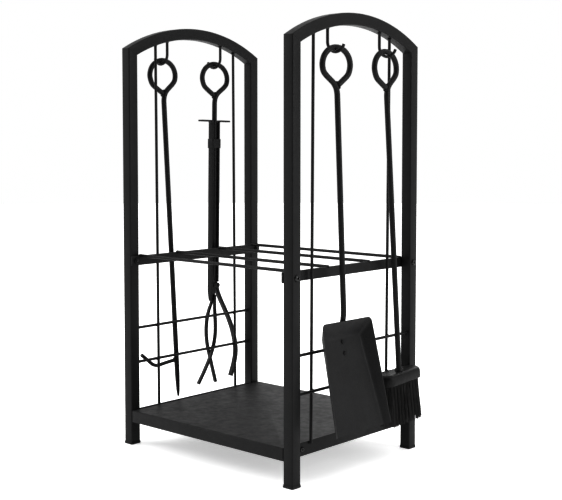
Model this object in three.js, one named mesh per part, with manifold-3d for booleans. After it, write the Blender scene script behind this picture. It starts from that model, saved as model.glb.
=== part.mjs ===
// Two-tier firewood rack with four hanging fireplace tools.
// Millimetres, +Z up. +X runs from the left end panel to the right one, +Y from front to back.
// The origin is on the floor, under the middle of the whole object. The shovel's pan reaches further out
// than anything on the left, so that point is a little to the right of the rack's own middle.
import * as THREE from 'three';
import { mergeVertices } from 'three/addons/utils/BufferGeometryUtils.js';
import Module from 'manifold-3d';

// ---- Driving dimensions: frame ----
const WIDTH = 410;             // across the outer faces of the two end panels
const DEPTH = 334;             // front face to back face of the legs
const HEIGHT = 762;            // floor to the crown of the arches
const CORNER_HEIGHT = 717;     // floor to the corner where leg and arch meet
const TUBE = 20;               // square tube
const WALL = 1.5;              // wall of that tube
const GAP = 0.3;               // clearance between pieces that touch
const MIDDLE_X = 13.1;         // from the rack's middle to the middle of the whole object

// ---- Driving dimensions: end panels ----
const ROD_RADIUS = 2.5;        // thin rods and hooks
const ROD_NEAR = 96;           // distance of the two upright rods from the middle
const ROD_FAR = 106;
const HOOK_NEAR = 67;          // distance of the two hooks from the middle
const HOOK_FAR = 71;
const CROSS_ROD_HEIGHTS = [147, 210];
const HOOK_BEND = 17.5;        // radius of the hook's bend
const HOOK_TROUGH = 694;       // height of the rod's centre at the bottom of the hook
const HOOK_SWEEP = 160;        // degrees turned by the bend
const SIDE_RAIL = { bottom: 42, top: 64, thickness: 3 };
const ROD_FOOT = 60;           // height of the upright rods' lower ends

// ---- Driving dimensions: feet, tray and shelf ----
const FOOT = { height: 5, top: 20.8, bottom: 22, plug: 12 };
const TRAY = { bottom: 42, top: 63, sheet: 1.5, sideGap: 0.4, frontGap: 0.2 };
const TRAY_SCREW = { y: 125, z: 53, shank: 2, hole: 2.3, head: 4.5, headHeight: 2.2 };
const SHELF_BAR = { bottom: 327, top: 344, thickness: 4, half: 166.5 };
const SHELF_RODS = [-146, -55, 55, 146];
const SHELF_ROD_RADIUS = 2.75;
const SHELF_BOLT = { shank: 2.9, hole: 3.2, head: 5.5, headHeight: 3, nut: 5.4, nutHeight: 3.6 };

// ---- Driving dimensions: tools ----
const SHAFT_RADIUS = 4.75;
const RING = { wire: 4.6, halfWidth: 33, halfHeight: 28 };
const HANG_X = WIDTH / 2 - TUBE / 2 + HOOK_BEND;                       // plane that the rings hang in
// Tilt and lean are how far each tool hangs off the vertical, and twist turns its ring about its shaft, in degrees.
const POKER = { hook: -HOOK_NEAR, y: -63, tilt: 3.3, lean: 0, twist: 3, length: 613 };
const TONGS = { hook: HOOK_FAR, y: 73, tilt: -0.9, lean: 0, twist: -1.5 };
const SHOVEL = { hook: -HOOK_FAR, y: -69.6, tilt: 2.9, lean: 0, twist: -3 };
const BRUSH = { hook: HOOK_NEAR, y: 61.5, tilt: 3.2, lean: -1.15, twist: 3 };

// The pan's floor widens from its back fold to its mouth, and its walls flare out as they rise.
const PAN = { length: 156.5, sheet: 1.5, wall: 1.9, corner: 5, rimCorner: 9, backFlare: 23.9 };
const PAN_BACK = { half: 49.1, flare: 14.6, rise: 20.9 };
const PAN_MOUTH = { half: 60.5, flare: 11.2, rise: 9.6 };
const PAN_CUT = { share: 1.25, reach: 1.04 };   // how far the hollowing cut runs past the rim and the mouth
const PAN_PLACE = [-7.7, 0, -444.9];   // middle of the back fold, from the ring's centre
const PAN_ANGLE = 15.7;        // degrees that the pan kicks out from the shaft
const PAN_ROLL = -3.1;          // degrees that it sits askew
const RIVET = { radius: 2.2, head: 3.8, tail: 3.6, drops: [9, 28] };
const TONGUE = { halfWidth: 7, thickness: 3, top: 1, length: 42 };
const JOGGLE = { top: -404, shaftEnd: -408, halfWidth: 5.5 };

const BRUSH_HEAD = { top: -521, height: 19, straight: 34, radius: 17, socket: 12 };
const BRISTLES = { length: 73, radius: 14, spreadX: 1.25, spreadY: 1.07 };

const ARM = { halfWidth: 6.5, inner: 6.2, thickness: 3.2 };            // the tongs' two flat bars
const ARM_POINT = { top: -418, bottom: -437, halfWidth: 3.5 };         // the front one's tapered end
const TAB = { z: -83, reach: 38 };
const COLLAR = { z: -127, height: 18, wall: 1.1 };
const NECK = { halfX: 2.2, halfY: 4.2, top: -385, bottom: -440 };
const ROD_END = -395;
const JAW_PIVOT = { y: -1.4, z: -407 };
const JAW_LINK = { y: 8.6, z: -407 };
const JAW = { halfWidth: 5, cheekInner: 2.5, thickness: 5 };
const PIN_RADIUS = 1.5;
const CLAW = { thickness: 5, outer: 7, inner: 0.3, rootTop: -425 };

const STEEL = { color: 0x242425, roughness: 0.45, metalness: 0.3 };
const STEEL_TRAY = { color: 0x2b2b2c, roughness: 0.55, metalness: 0.2 };
const BOLT_STEEL = { color: 0x8d8e90, roughness: 0.35, metalness: 0.9 };
const PLASTIC = { color: 0x1a1a1b, roughness: 0.6, metalness: 0 };
const BRISTLE = { color: 0x161616, roughness: 0.8, metalness: 0 };

const ROUND = 12;              // sides of a plain rod
const SWEPT = 10;              // sides of a bent rod
const SIDES = [['left', -1], ['right', 1]];
const ENDS = [['front', -1], ['back', 1]];

const wasm = await Module();
wasm.setup();
const assembly = new THREE.Group();
assembly.position.x = -MIDDLE_X;

// ---- Solids and booleans ----
function toSolid(geometry) {
  const bare = geometry.clone();
  bare.deleteAttribute('normal');
  bare.deleteAttribute('uv');
  const merged = mergeVertices(bare, 1e-4);
  return new wasm.Manifold(new wasm.Mesh({
    numProp: 3,
    vertProperties: new Float32Array(merged.attributes.position.array),
    triVerts: new Uint32Array(merged.index.array),
  }));
}

function toGeometry(solid) {
  const mesh = solid.getMesh();
  const geometry = new THREE.BufferGeometry();
  geometry.setAttribute('position', new THREE.BufferAttribute(new Float32Array(mesh.vertProperties), 3));
  geometry.setIndex(new THREE.BufferAttribute(new Uint32Array(mesh.triVerts), 1));
  geometry.computeVertexNormals();
  return geometry;
}

function join(first, ...others) {
  return others.reduce((sum, other) => sum.add(toSolid(other)), toSolid(first));
}

function cut(solid, ...tools) {
  return tools.reduce((rest, tool) => rest.subtract(toSolid(tool)), solid);
}

// ---- Basic shapes ----
function box(x, y, z) {
  const size = [x, y, z].map(([low, high]) => high - low);
  const middle = [x, y, z].map(([low, high]) => (high + low) / 2);
  return new THREE.BoxGeometry(...size).translate(...middle);
}

function rod(from, to, radius, sides = ROUND) {
  const start = new THREE.Vector3(...from);
  const along = new THREE.Vector3(...to).sub(start);
  const turn = new THREE.Quaternion().setFromUnitVectors(
    new THREE.Vector3(0, 1, 0), along.clone().normalize());
  const geometry = new THREE.CylinderGeometry(radius, radius, along.length(), sides);
  geometry.applyQuaternion(turn);
  return geometry.translate(...start.addScaledVector(along, 0.5).toArray());
}

function sweep(points, radius, steps, sides = SWEPT) {
  const path = new THREE.CatmullRomCurve3(points.map(p => new THREE.Vector3(...p)), false, 'centripetal');
  const ring = Array.from({ length: sides }, (_, i) => new THREE.Vector2(
    radius * Math.cos(2 * Math.PI * i / sides), radius * Math.sin(2 * Math.PI * i / sides)));
  return new THREE.ExtrudeGeometry(new THREE.Shape(ring), { steps, extrudePath: path, bevelEnabled: false });
}

// A flat outline drawn in Y and Z, thickened along X.
function plate(shape, x, curveSegments = 12) {
  const geometry = new THREE.ExtrudeGeometry(shape, { depth: x[1] - x[0], bevelEnabled: false, curveSegments });
  const toYZ = new THREE.Matrix4().makeBasis(
    new THREE.Vector3(0, 1, 0), new THREE.Vector3(0, 0, 1), new THREE.Vector3(1, 0, 0));
  return geometry.applyMatrix4(toYZ).translate(x[0], 0, 0);
}

// A flat outline drawn in X and Z, thickened along Y.
function crossPlate(shape, y) {
  const geometry = new THREE.ExtrudeGeometry(shape, { depth: y[1] - y[0], bevelEnabled: false, curveSegments: 6 });
  const toXZ = new THREE.Matrix4().makeBasis(
    new THREE.Vector3(1, 0, 0), new THREE.Vector3(0, 0, 1), new THREE.Vector3(0, -1, 0));
  return geometry.applyMatrix4(toXZ).translate(0, y[1], 0);
}

function polygon(points) {
  return new THREE.Shape(points.map(p => new THREE.Vector2(...p)));
}

// A flat bar bent along a curve in the YZ plane, as an outline.
function ribbon(points, thickness, steps) {
  const path = new THREE.SplineCurve(points.map(p => new THREE.Vector2(...p)));
  const left = [];
  const right = [];
  for (let i = 0; i <= steps; i++) {
    const point = path.getPointAt(i / steps);
    const tangent = path.getTangentAt(i / steps);
    const side = new THREE.Vector2(-tangent.y, tangent.x).multiplyScalar(thickness / 2);
    left.push(point.clone().add(side));
    right.unshift(point.clone().sub(side));
  }
  return new THREE.Shape([...left, ...right]);
}

// Round-ended outline of two circles and their tangents, centres at one height.
function link(yLow, radiusLow, yHigh, radiusHigh, z) {
  const shape = new THREE.Shape();
  const tilt = Math.asin((radiusLow - radiusHigh) / (yHigh - yLow));
  shape.absarc(yHigh, z, radiusHigh, tilt - Math.PI / 2, Math.PI / 2 - tilt, false);
  shape.absarc(yLow, z, radiusLow, Math.PI / 2 - tilt, 3 * Math.PI / 2 + tilt, false);
  return shape;
}

function disc(y, z, radius) {
  const shape = new THREE.Shape();
  shape.absarc(y, z, radius, 0, 2 * Math.PI, false);
  return shape;
}

function place(name, source, finish, parent = assembly) {
  const geometry = source.isBufferGeometry ? source : toGeometry(source);
  const mesh = new THREE.Mesh(geometry, new THREE.MeshStandardMaterial(finish));
  mesh.name = name;
  parent.add(mesh);
}

// ---- End panels ----
const archCentre = HEIGHT - ((DEPTH / 2) ** 2 + (HEIGHT - CORNER_HEIGHT) ** 2) / (2 * (HEIGHT - CORNER_HEIGHT));
const archOuter = HEIGHT - archCentre;
const archInner = archOuter - TUBE;
const legInner = DEPTH / 2 - TUBE;
const panelMiddle = WIDTH / 2 - TUBE / 2;
const panelInner = WIDTH / 2 - TUBE;

function archUnderside(y) {
  return archCentre + Math.sqrt(archInner ** 2 - y ** 2);
}

// A span of X on the given side, from distances measured outwards.
function spanX(side, near, far) {
  return side > 0 ? [near, far] : [-far, -near];
}

function archBand(inner, outer, halfInner, halfOuter) {
  const from = Math.acos(halfOuter / outer);
  const to = Math.acos(halfInner / inner);
  const shape = new THREE.Shape();
  shape.absarc(0, archCentre, outer, from, Math.PI - from, false);
  shape.absarc(0, archCentre, inner, Math.PI - to, to, true);
  return shape;
}

function arch(side) {
  const outside = plate(archBand(archInner, archOuter, legInner, DEPTH / 2),
    spanX(side, panelInner, WIDTH / 2), 24);
  const reach = 4;
  const hollow = plate(archBand(archInner + WALL, archOuter - WALL, legInner + reach, DEPTH / 2 + reach),
    spanX(side, panelInner + WALL, WIDTH / 2 - WALL), 24);
  return cut(toSolid(outside), hollow);
}

function leg(side, end) {
  const outline = polygon([
    [end * DEPTH / 2, FOOT.height], [end * DEPTH / 2, CORNER_HEIGHT - GAP],
    [end * legInner, archUnderside(legInner) - GAP], [end * legInner, FOOT.height]]);
  const bolt = end * (DEPTH / 2 - TUBE / 2);
  const boltHeight = (SHELF_BAR.bottom + SHELF_BAR.top) / 2;
  const near = end * (legInner + WALL);
  const far = end * (DEPTH / 2 - WALL);
  const hollow = box(spanX(side, panelInner + WALL, WIDTH / 2 - WALL),
    [Math.min(near, far), Math.max(near, far)], [0, HEIGHT]);
  const hole = rod([side * (panelInner - 5), bolt, boltHeight], [side * (WIDTH / 2 + 5), bolt, boltHeight],
    SHELF_BOLT.hole);
  return cut(toSolid(plate(outline, spanX(side, panelInner, WIDTH / 2))), hollow, hole);
}

function footCap(side, end) {
  const x = side * panelMiddle;
  const y = end * (DEPTH / 2 - TUBE / 2);
  const pad = new THREE.CylinderGeometry(FOOT.top / Math.SQRT2, FOOT.bottom / Math.SQRT2, FOOT.height - GAP, 4, 1)
    .rotateX(Math.PI / 2).rotateZ(Math.PI / 4).translate(x, y, (FOOT.height - GAP) / 2);
  const half = TUBE / 2 - WALL - GAP;
  const plug = box([x - half, x + half], [y - half, y + half], [FOOT.height / 2, FOOT.height + FOOT.plug]);
  return join(pad, plug);
}

// The upright rods lean in slightly, from the arch down to the outside of the side rail.
const rodFootX = panelInner + SIDE_RAIL.thickness + GAP + ROD_RADIUS;

function uprightX(z) {
  return rodFootX + (panelMiddle - rodFootX) * (z - ROD_FOOT) / (HEIGHT - ROD_FOOT);
}

function uprightRod(side, y) {
  const top = archUnderside(Math.abs(y) + ROD_RADIUS) - GAP;
  return rod([side * uprightX(ROD_FOOT), y, ROD_FOOT], [side * uprightX(top), y, top], ROD_RADIUS);
}

function crossRod(side, z) {
  const x = side * (uprightX(z) + 2 * ROD_RADIUS + GAP);
  return rod([x, -legInner, z], [x, legInner, z], ROD_RADIUS);
}

function hook(side, y) {
  const top = archUnderside(Math.abs(y) + ROD_RADIUS) - GAP;
  const bendHeight = HOOK_TROUGH + HOOK_BEND;
  const points = [[side * panelMiddle, y, top], [side * panelMiddle, y, (top + bendHeight) / 2]];
  for (let turn = 0; turn <= HOOK_SWEEP; turn += 20) {
    const angle = Math.PI * turn / 180;
    points.push([side * (panelMiddle + HOOK_BEND * (1 - Math.cos(angle))), y,
      bendHeight - HOOK_BEND * Math.sin(angle)]);
  }
  return sweep(points, ROD_RADIUS, 22, 8);
}

function trayScrewHoles(side) {
  return ENDS.map(([, end]) => rod([side * (panelInner - 8), end * TRAY_SCREW.y, TRAY_SCREW.z],
    [side * (panelInner + 8), end * TRAY_SCREW.y, TRAY_SCREW.z], TRAY_SCREW.hole));
}

function sideRail(side) {
  const bar = box(spanX(side, panelInner, panelInner + SIDE_RAIL.thickness), [-legInner, legInner],
    [SIDE_RAIL.bottom, SIDE_RAIL.top]);
  return cut(toSolid(bar), ...trayScrewHoles(side));
}

function addPanel(sideName, side) {
  place(`arch_${sideName}`, arch(side), STEEL);
  place(`side_rail_${sideName}`, sideRail(side), STEEL);
  for (const [endName, end] of ENDS) {
    place(`leg_${sideName}_${endName}`, leg(side, end), STEEL);
    place(`foot_cap_${sideName}_${endName}`, footCap(side, end), PLASTIC);
    // Each panel is the other one turned half a turn, so near and far swap ends.
    const swapped = side * end > 0;
    place(`upright_rod_${sideName}_${endName}`, uprightRod(side, end * (swapped ? ROD_NEAR : ROD_FAR)), STEEL);
    place(`hook_${sideName}_${endName}`, hook(side, end * (swapped ? HOOK_NEAR : HOOK_FAR)), STEEL);
  }
  place(`cross_rod_${sideName}_lower`, crossRod(side, CROSS_ROD_HEIGHTS[0]), STEEL);
  place(`cross_rod_${sideName}_upper`, crossRod(side, CROSS_ROD_HEIGHTS[1]), STEEL);
}

// ---- Tray and shelf ----
function tray() {
  const halfX = panelInner - TRAY.sideGap;
  const halfY = DEPTH / 2 - TRAY.frontGap;
  const sheet = box([-halfX, halfX], [-halfY, halfY], [TRAY.bottom, TRAY.top]);
  const inside = box([-halfX + TRAY.sheet, halfX - TRAY.sheet], [-halfY + TRAY.sheet, halfY - TRAY.sheet],
    [TRAY.bottom - 1, TRAY.top - TRAY.sheet]);
  return cut(toSolid(sheet), inside, ...trayScrewHoles(-1), ...trayScrewHoles(1));
}

// A screw along X: its head bears on the face at headX, its shank ends at tipX.
function screw(side, y, z, headX, tipX, size) {
  const head = rod([side * headX, y, z], [side * (headX + size.headHeight), y, z], size.head, 16);
  const shank = rod([side * tipX, y, z], [side * (headX + size.headHeight / 2), y, z], size.shank);
  return join(head, shank);
}

// A flat bar along the legs' inner faces, with a nut welded behind each bolt hole and a notch for each rod.
function shelfBar(side) {
  const outer = panelInner - GAP;
  const inner = outer - SHELF_BAR.thickness;
  const height = (SHELF_BAR.bottom + SHELF_BAR.top) / 2;
  const ends = ENDS.map(([, end]) => end * (DEPTH / 2 - TUBE / 2));
  const bar = box(spanX(side, inner, outer), [-SHELF_BAR.half, SHELF_BAR.half],
    [SHELF_BAR.bottom, SHELF_BAR.top]);
  const nuts = ends.map(y => rod([side * (inner - SHELF_BOLT.nutHeight), y, height],
    [side * (inner + 1), y, height], SHELF_BOLT.nut, 6));
  const holes = ends.map(y => rod([side * (inner - 10), y, height], [side * (outer + 10), y, height],
    SHELF_BOLT.hole));
  const notches = SHELF_RODS.map(y => rod([side * (inner - 1), y, SHELF_BAR.top],
    [side * (outer + 1), y, SHELF_BAR.top], SHELF_ROD_RADIUS + GAP));
  return cut(join(bar, ...nuts), ...holes, ...notches);
}

function addShelf() {
  const boltHeight = (SHELF_BAR.bottom + SHELF_BAR.top) / 2;
  const boltTip = panelInner - SHELF_BAR.thickness - SHELF_BOLT.nutHeight - 2;
  for (const [sideName, side] of SIDES) {
    place(`shelf_bar_${sideName}`, shelfBar(side), STEEL);
    for (const [endName, end] of ENDS) {
      const y = end * (DEPTH / 2 - TUBE / 2);
      const bolt = screw(side, y, boltHeight, WIDTH / 2 + GAP, boltTip, SHELF_BOLT);
      place(`shelf_bolt_${sideName}_${endName}`, bolt, BOLT_STEEL);
    }
  }
  const reach = panelInner - GAP;
  SHELF_RODS.forEach((y, i) => {
    const bar = rod([-reach, y, SHELF_BAR.top], [reach, y, SHELF_BAR.top], SHELF_ROD_RADIUS);
    place(`shelf_rod_${i + 1}`, bar, STEEL);
  });
}

function addTray() {
  place('log_tray', tray(), STEEL_TRAY);
  for (const [sideName, side] of SIDES) {
    for (const [endName, end] of ENDS) {
      const fixing = screw(side, end * TRAY_SCREW.y, TRAY_SCREW.z,
        panelInner + SIDE_RAIL.thickness + GAP, panelInner - 6, TRAY_SCREW);
      place(`tray_screw_${sideName}_${endName}`, fixing, BOLT_STEEL);
    }
  }
}

// ---- Tools: each hangs in a group whose origin is its ring's centre ----
function hangGroup(side, { hook: hookY, y, tilt, lean }) {
  const turn = THREE.MathUtils.degToRad(tilt);
  const offCentre = (hookY - y + RING.halfHeight * Math.sin(turn)) / (RING.halfWidth - RING.wire);
  const innerTop = (RING.halfHeight - RING.wire) * Math.sqrt(1 - offCentre ** 2);
  const group = new THREE.Group();
  group.position.set(side * HANG_X, y, HOOK_TROUGH + ROD_RADIUS + GAP - innerTop);
  group.rotation.set(turn, THREE.MathUtils.degToRad(lean), 0);
  assembly.add(group);
  return group;
}

// The bar flows from the shaft into the loop on one side, and its end butts against the shaft on the other.
function ringLoop(side, { twist }) {
  const points = [[0, 0, -62], [0, 0, -54], [0, side * 0.3, -45], [0, side * 2.6, -36.5], [0, side * 8, -29.2],
    [0, side * 15.6, -23.2], [0, side * 23.8, -17.3]];
  for (let turn = -20; turn <= 205; turn += 25) {
    const angle = Math.PI * turn / 180;
    points.push([0, side * RING.halfWidth * Math.cos(angle), RING.halfHeight * Math.sin(angle)]);
  }
  points.push([0, -side * 26, -17.2], [0, -side * 16, -24.2], [0, -side * 2.6, -32.6]);
  return sweep(points, RING.wire, 42).rotateZ(THREE.MathUtils.degToRad(twist));
}

function plainHandle(tool, end) {
  return join(rod([0, 0, -56], [0, 0, end], SHAFT_RADIUS), ringLoop(1, tool));
}

function addPoker() {
  const group = hangGroup(-1, POKER);
  const tip = POKER.length;
  const profile = [[0, -56], [SHAFT_RADIUS, -56], [SHAFT_RADIUS, 45 - tip], [4.2, 30 - tip],
    [3.2, 10 - tip], [2, -tip], [0, -tip]].map(p => new THREE.Vector2(...p)).reverse();
  const shaft = new THREE.LatheGeometry(profile, ROUND).rotateX(Math.PI / 2);
  place('poker_handle', join(shaft, ringLoop(1, POKER)), STEEL, group);
  const prong = [[0, -SHAFT_RADIUS - GAP, -541], [0, -30, -542], [0, -50, -542.5], [0, -60, -538.5],
    [0, -72, -528], [0, -86, -515.5]];
  place('poker_prong', sweep(prong, 3.4, 14, 8), STEEL, group);
}

// The pan's plan at a share of the wall's rise, as points from one mouth corner round the back to the other.
// Inset moves it inward, and reach carries it past the mouth.
function panEdge(share, inset = 0, reach = 1) {
  const at = (back, mouth) => back + (mouth - back) * reach;
  const back = PAN_BACK.half + PAN_BACK.flare * share - inset;
  const mouth = at(back, PAN_MOUTH.half + PAN_MOUTH.flare * share - inset);
  const bend = PAN.corner + (PAN.rimCorner - PAN.corner) * share - inset / 2;
  const z = PAN.backFlare * share - inset;
  const half = [[share * at(PAN_BACK.rise, PAN_MOUTH.rise), mouth, -PAN.length * reach]];
  for (let step = 0; step <= 4; step++) {
    const angle = Math.PI / 2 * step / 4;
    half.push([share * PAN_BACK.rise, back - bend * (1 - Math.cos(angle)), z - bend * (1 - Math.sin(angle))]);
  }
  const mirrored = half.map(([x, y, depth]) => [x, -y, depth]).reverse();
  return [...half, ...mirrored];
}

// A closed solid between two outlines with the same number of points.
function frustum(low, high) {
  const count = low.length;
  const geometry = new THREE.BufferGeometry();
  geometry.setAttribute('position', new THREE.BufferAttribute(new Float32Array([...low, ...high].flat()), 3));
  const faces = [];
  for (let i = 0; i < count; i++) {
    const next = (i + 1) % count;
    faces.push(i, next, count + next, i, count + next, count + i);
  }
  for (let i = 1; i < count - 1; i++) {
    faces.push(0, i + 1, i, count, count + i, count + i + 1);
  }
  geometry.setIndex(faces);
  return geometry;
}

function shovelPan() {
  const body = frustum(panEdge(0), panEdge(1));
  const floor = PAN.sheet / PAN_BACK.rise;
  const inside = frustum(panEdge(floor, PAN.wall / 2, PAN_CUT.reach),
    panEdge(PAN_CUT.share, PAN.wall, PAN_CUT.reach));
  const holes = RIVET.drops.map(drop => rod([-5, 0, -drop], [5, 0, -drop], RIVET.radius + GAP));
  return cut(toSolid(body), inside, ...holes);
}

// The shaft's flattened end, riveted to the back of the pan's floor.
function shovelTongue() {
  const y = TONGUE.halfWidth;
  const shape = new THREE.Shape();
  shape.moveTo(y, TONGUE.top);
  shape.lineTo(-y, TONGUE.top);
  shape.lineTo(-y, y - TONGUE.length);
  shape.absarc(0, y - TONGUE.length, y, Math.PI, 2 * Math.PI, false);
  return plate(shape, [-GAP - TONGUE.thickness, -GAP], 6);
}

// Where the shaft is hammered flat and set back, so that it clears the pan's back wall.
function shaftJoggle() {
  const front = [[4.5, JOGGLE.top], [4.2, -412], [1.4, -420], [-3.6, -432], [-8.1, -443], [-7.7, -448]];
  const back = [[-10.4, -448], [-11.4, -443], [-9.2, -432], [-6.6, -420], [-4.6, -410], [-4.5, JOGGLE.top]];
  return crossPlate(polygon([...back.reverse(), ...front.reverse()]), [-JOGGLE.halfWidth, JOGGLE.halfWidth]);
}

function rivet(drop) {
  const back = -GAP - TONGUE.thickness - GAP;
  const front = PAN.sheet + GAP;
  const shank = rod([back - 0.5, 0, -drop], [front + 0.5, 0, -drop], RIVET.radius);
  const tail = rod([back - 1.2, 0, -drop], [back, 0, -drop], RIVET.tail);
  const head = rod([front, 0, -drop], [front + 1.8, 0, -drop], RIVET.head);
  return join(shank, tail, head);
}

function addShovel() {
  const group = hangGroup(1, SHOVEL);
  const pan = new THREE.Group();
  pan.position.set(...PAN_PLACE);
  pan.rotation.set(THREE.MathUtils.degToRad(PAN_ROLL), THREE.MathUtils.degToRad(-PAN_ANGLE), 0, 'YXZ');
  pan.updateMatrix();
  group.add(pan);
  const holes = RIVET.drops.map(drop => rod([-9, 0, -drop], [9, 0, -drop], RIVET.radius + GAP)
    .applyMatrix4(pan.matrix));
  const handle = join(rod([0, 0, -56], [0, 0, JOGGLE.shaftEnd], SHAFT_RADIUS), ringLoop(-1, SHOVEL), shaftJoggle(),
    shovelTongue().applyMatrix4(pan.matrix));
  place('shovel_handle', cut(handle, ...holes), STEEL, group);
  place('shovel_pan', shovelPan(), STEEL, pan);
  RIVET.drops.forEach((drop, i) => place(`shovel_rivet_${i + 1}`, rivet(drop), STEEL, pan));
}

function stadium(radius) {
  const shape = new THREE.Shape();
  shape.absarc(0, BRUSH_HEAD.straight, radius, 0, Math.PI, false);
  shape.absarc(0, -BRUSH_HEAD.straight, radius, Math.PI, 2 * Math.PI, false);
  return shape;
}

function bristleBlock() {
  const geometry = new THREE.ExtrudeGeometry(stadium(BRISTLES.radius),
    { depth: BRISTLES.length, bevelEnabled: false, curveSegments: 8 });
  const position = geometry.attributes.position;
  for (let i = 0; i < position.count; i++) {
    const atTip = position.getZ(i) < BRISTLES.length / 2;
    position.setX(i, position.getX(i) * (atTip ? BRISTLES.spreadX : 1));
    position.setY(i, position.getY(i) * (atTip ? BRISTLES.spreadY : 1));
  }
  return geometry.translate(0, 0, BRUSH_HEAD.top - BRUSH_HEAD.height - GAP - BRISTLES.length);
}

function addBrush() {
  const group = hangGroup(1, BRUSH);
  const socketEnd = BRUSH_HEAD.top - BRUSH_HEAD.socket;
  place('brush_handle', plainHandle(BRUSH, socketEnd + GAP), STEEL, group);
  const block = new THREE.ExtrudeGeometry(stadium(BRUSH_HEAD.radius),
    { depth: BRUSH_HEAD.height, bevelEnabled: false, curveSegments: 10 })
    .translate(0, 0, BRUSH_HEAD.top - BRUSH_HEAD.height);
  const socket = rod([0, 0, socketEnd], [0, 0, BRUSH_HEAD.top + 5], SHAFT_RADIUS + GAP);
  place('brush_head', cut(toSolid(block), socket), PLASTIC, group);
  place('brush_bristles', bristleBlock(), BRISTLE, group);
}

// ---- Tongs ----
function pin(y, z, halfLength) {
  const shank = rod([-halfLength, y, z], [halfLength, y, z], PIN_RADIUS);
  const heads = [-1, 1].map(end => rod([end * halfLength, y, z], [end * (halfLength + 1), y, z], PIN_RADIUS + 1));
  return join(shank, ...heads);
}

function tongsHandle() {
  const neck = box([-NECK.halfX, NECK.halfX], [-NECK.halfY, NECK.halfY], [NECK.bottom, NECK.top]);
  const body = join(rod([0, 0, -56], [0, 0, ROD_END], SHAFT_RADIUS), ringLoop(1, TONGS), neck);
  return cut(body, plate(disc(JAW_PIVOT.y, JAW_PIVOT.z, PIN_RADIUS + 0.15), [-9, 9], 8));
}

// A flat bar beside the rod, with its thumb tab bent out at the top.
function tongsArm(side) {
  const y = side > 0 ? [ARM.inner, ARM.inner + ARM.thickness] : [-ARM.inner - ARM.thickness, -ARM.inner];
  const tabY = side > 0 ? [ARM.inner, TAB.reach] : [-TAB.reach, -ARM.inner];
  const top = TAB.z + ARM.thickness / 2;
  const wideEnd = side > 0 ? JAW_LINK.z + 7 : ARM_POINT.top;
  const bar = box([-ARM.halfWidth, ARM.halfWidth], y, [wideEnd, top]);
  const tab = box([-ARM.halfWidth, ARM.halfWidth], tabY, [top - ARM.thickness, top]);
  if (side < 0) {
    const point = polygon([[-ARM.halfWidth, ARM_POINT.top + 2], [-ARM.halfWidth, ARM_POINT.top],
      [-ARM_POINT.halfWidth, ARM_POINT.bottom], [ARM_POINT.halfWidth, ARM_POINT.bottom],
      [ARM.halfWidth, ARM_POINT.top], [ARM.halfWidth, ARM_POINT.top + 2]]);
    return join(bar, tab, crossPlate(point, y));
  }
  const tongue = box([-NECK.halfX, NECK.halfX], y, [JAW_LINK.z, wideEnd + 1]);
  const eye = plate(disc(JAW_LINK.y, JAW_LINK.z, 4), [-NECK.halfX, NECK.halfX], 8);
  const hole = plate(disc(JAW_LINK.y, JAW_LINK.z, PIN_RADIUS + 0.15), [-9, 9], 8);
  return cut(join(bar, tab, tongue, eye), hole);
}

function tongsCollar() {
  const x = ARM.halfWidth + GAP;
  const y = ARM.inner + ARM.thickness + GAP;
  const z = [COLLAR.z - COLLAR.height / 2, COLLAR.z + COLLAR.height / 2];
  const band = box([-x - COLLAR.wall, x + COLLAR.wall], [-y - COLLAR.wall, y + COLLAR.wall], z);
  return cut(toSolid(band), box([-x, x], [-y, y], [z[0] - 1, z[1] + 1]));
}

// One finger of the fixed claw: narrow beside the neck, full width below it.
function clawFinger(side, points) {
  const outline = ribbon(points, CLAW.thickness, 16);
  const beside = plate(outline, spanX(side, NECK.halfX + GAP, CLAW.outer));
  const full = plate(outline, spanX(side, CLAW.inner, CLAW.outer));
  const keep = box([-20, 20], [-80, 80], [-700, NECK.bottom - 1]);
  return toSolid(full).intersect(toSolid(keep)).add(toSolid(beside));
}

function movingJaw() {
  const blade = ribbon([[8.6, -409], [11.2, -419], [19.2, -435], [33, -458], [45.8, -481], [56, -504.5],
    [62, -526], [64.3, -545], [61.5, -564], [50.5, -594]], JAW.thickness, 24);
  const cheeks = link(JAW_PIVOT.y, 4.5, JAW_LINK.y, 5.2, JAW_LINK.z);
  const width = [-JAW.halfWidth, JAW.halfWidth];
  const slotWidth = [-JAW.cheekInner, JAW.cheekInner];
  const slots = [plate(link(JAW_PIVOT.y, 5, JAW_LINK.y, 5.6, JAW_LINK.z), slotWidth, 10)];
  const pivotHole = plate(disc(JAW_PIVOT.y, JAW_PIVOT.z, PIN_RADIUS + 0.15), [-9, 9], 8);
  const linkHole = plate(link(JAW_LINK.y, 1.95, JAW_LINK.y + 0.8, 1.949, JAW_LINK.z), [-9, 9], 8);
  return cut(join(plate(blade, width), plate(cheeks, width, 10)), ...slots, pivotHole, linkHole);
}

function addTongs() {
  const group = hangGroup(-1, TONGS);
  place('tongs_handle', tongsHandle(), STEEL, group);
  place('tongs_arm_front', tongsArm(-1), STEEL, group);
  place('tongs_arm_back', tongsArm(1), STEEL, group);
  place('tongs_collar', tongsCollar(), STEEL, group);
  const root = [[0, CLAW.rootTop], [0, -440]];
  place('tongs_claw_outer', clawFinger(-1, [...root, [-8, -457], [-13, -475], [-14.5, -500], [-11, -526],
    [-3.5, -551], [12, -601]]), STEEL, group);
  place('tongs_claw_inner', clawFinger(1, [...root, [1.2, -459], [3.1, -479], [3.2, -502], [-1.2, -525],
    [-9.6, -546], [-24.5, -571.5], [-42, -597]]), STEEL, group);
  place('tongs_jaw', movingJaw(), STEEL, group);
  place('tongs_pivot_pin', pin(JAW_PIVOT.y, JAW_PIVOT.z, JAW.halfWidth + GAP), BOLT_STEEL, group);
  place('tongs_link_pin', pin(JAW_LINK.y, JAW_LINK.z, JAW.halfWidth + GAP), BOLT_STEEL, group);
}

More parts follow.
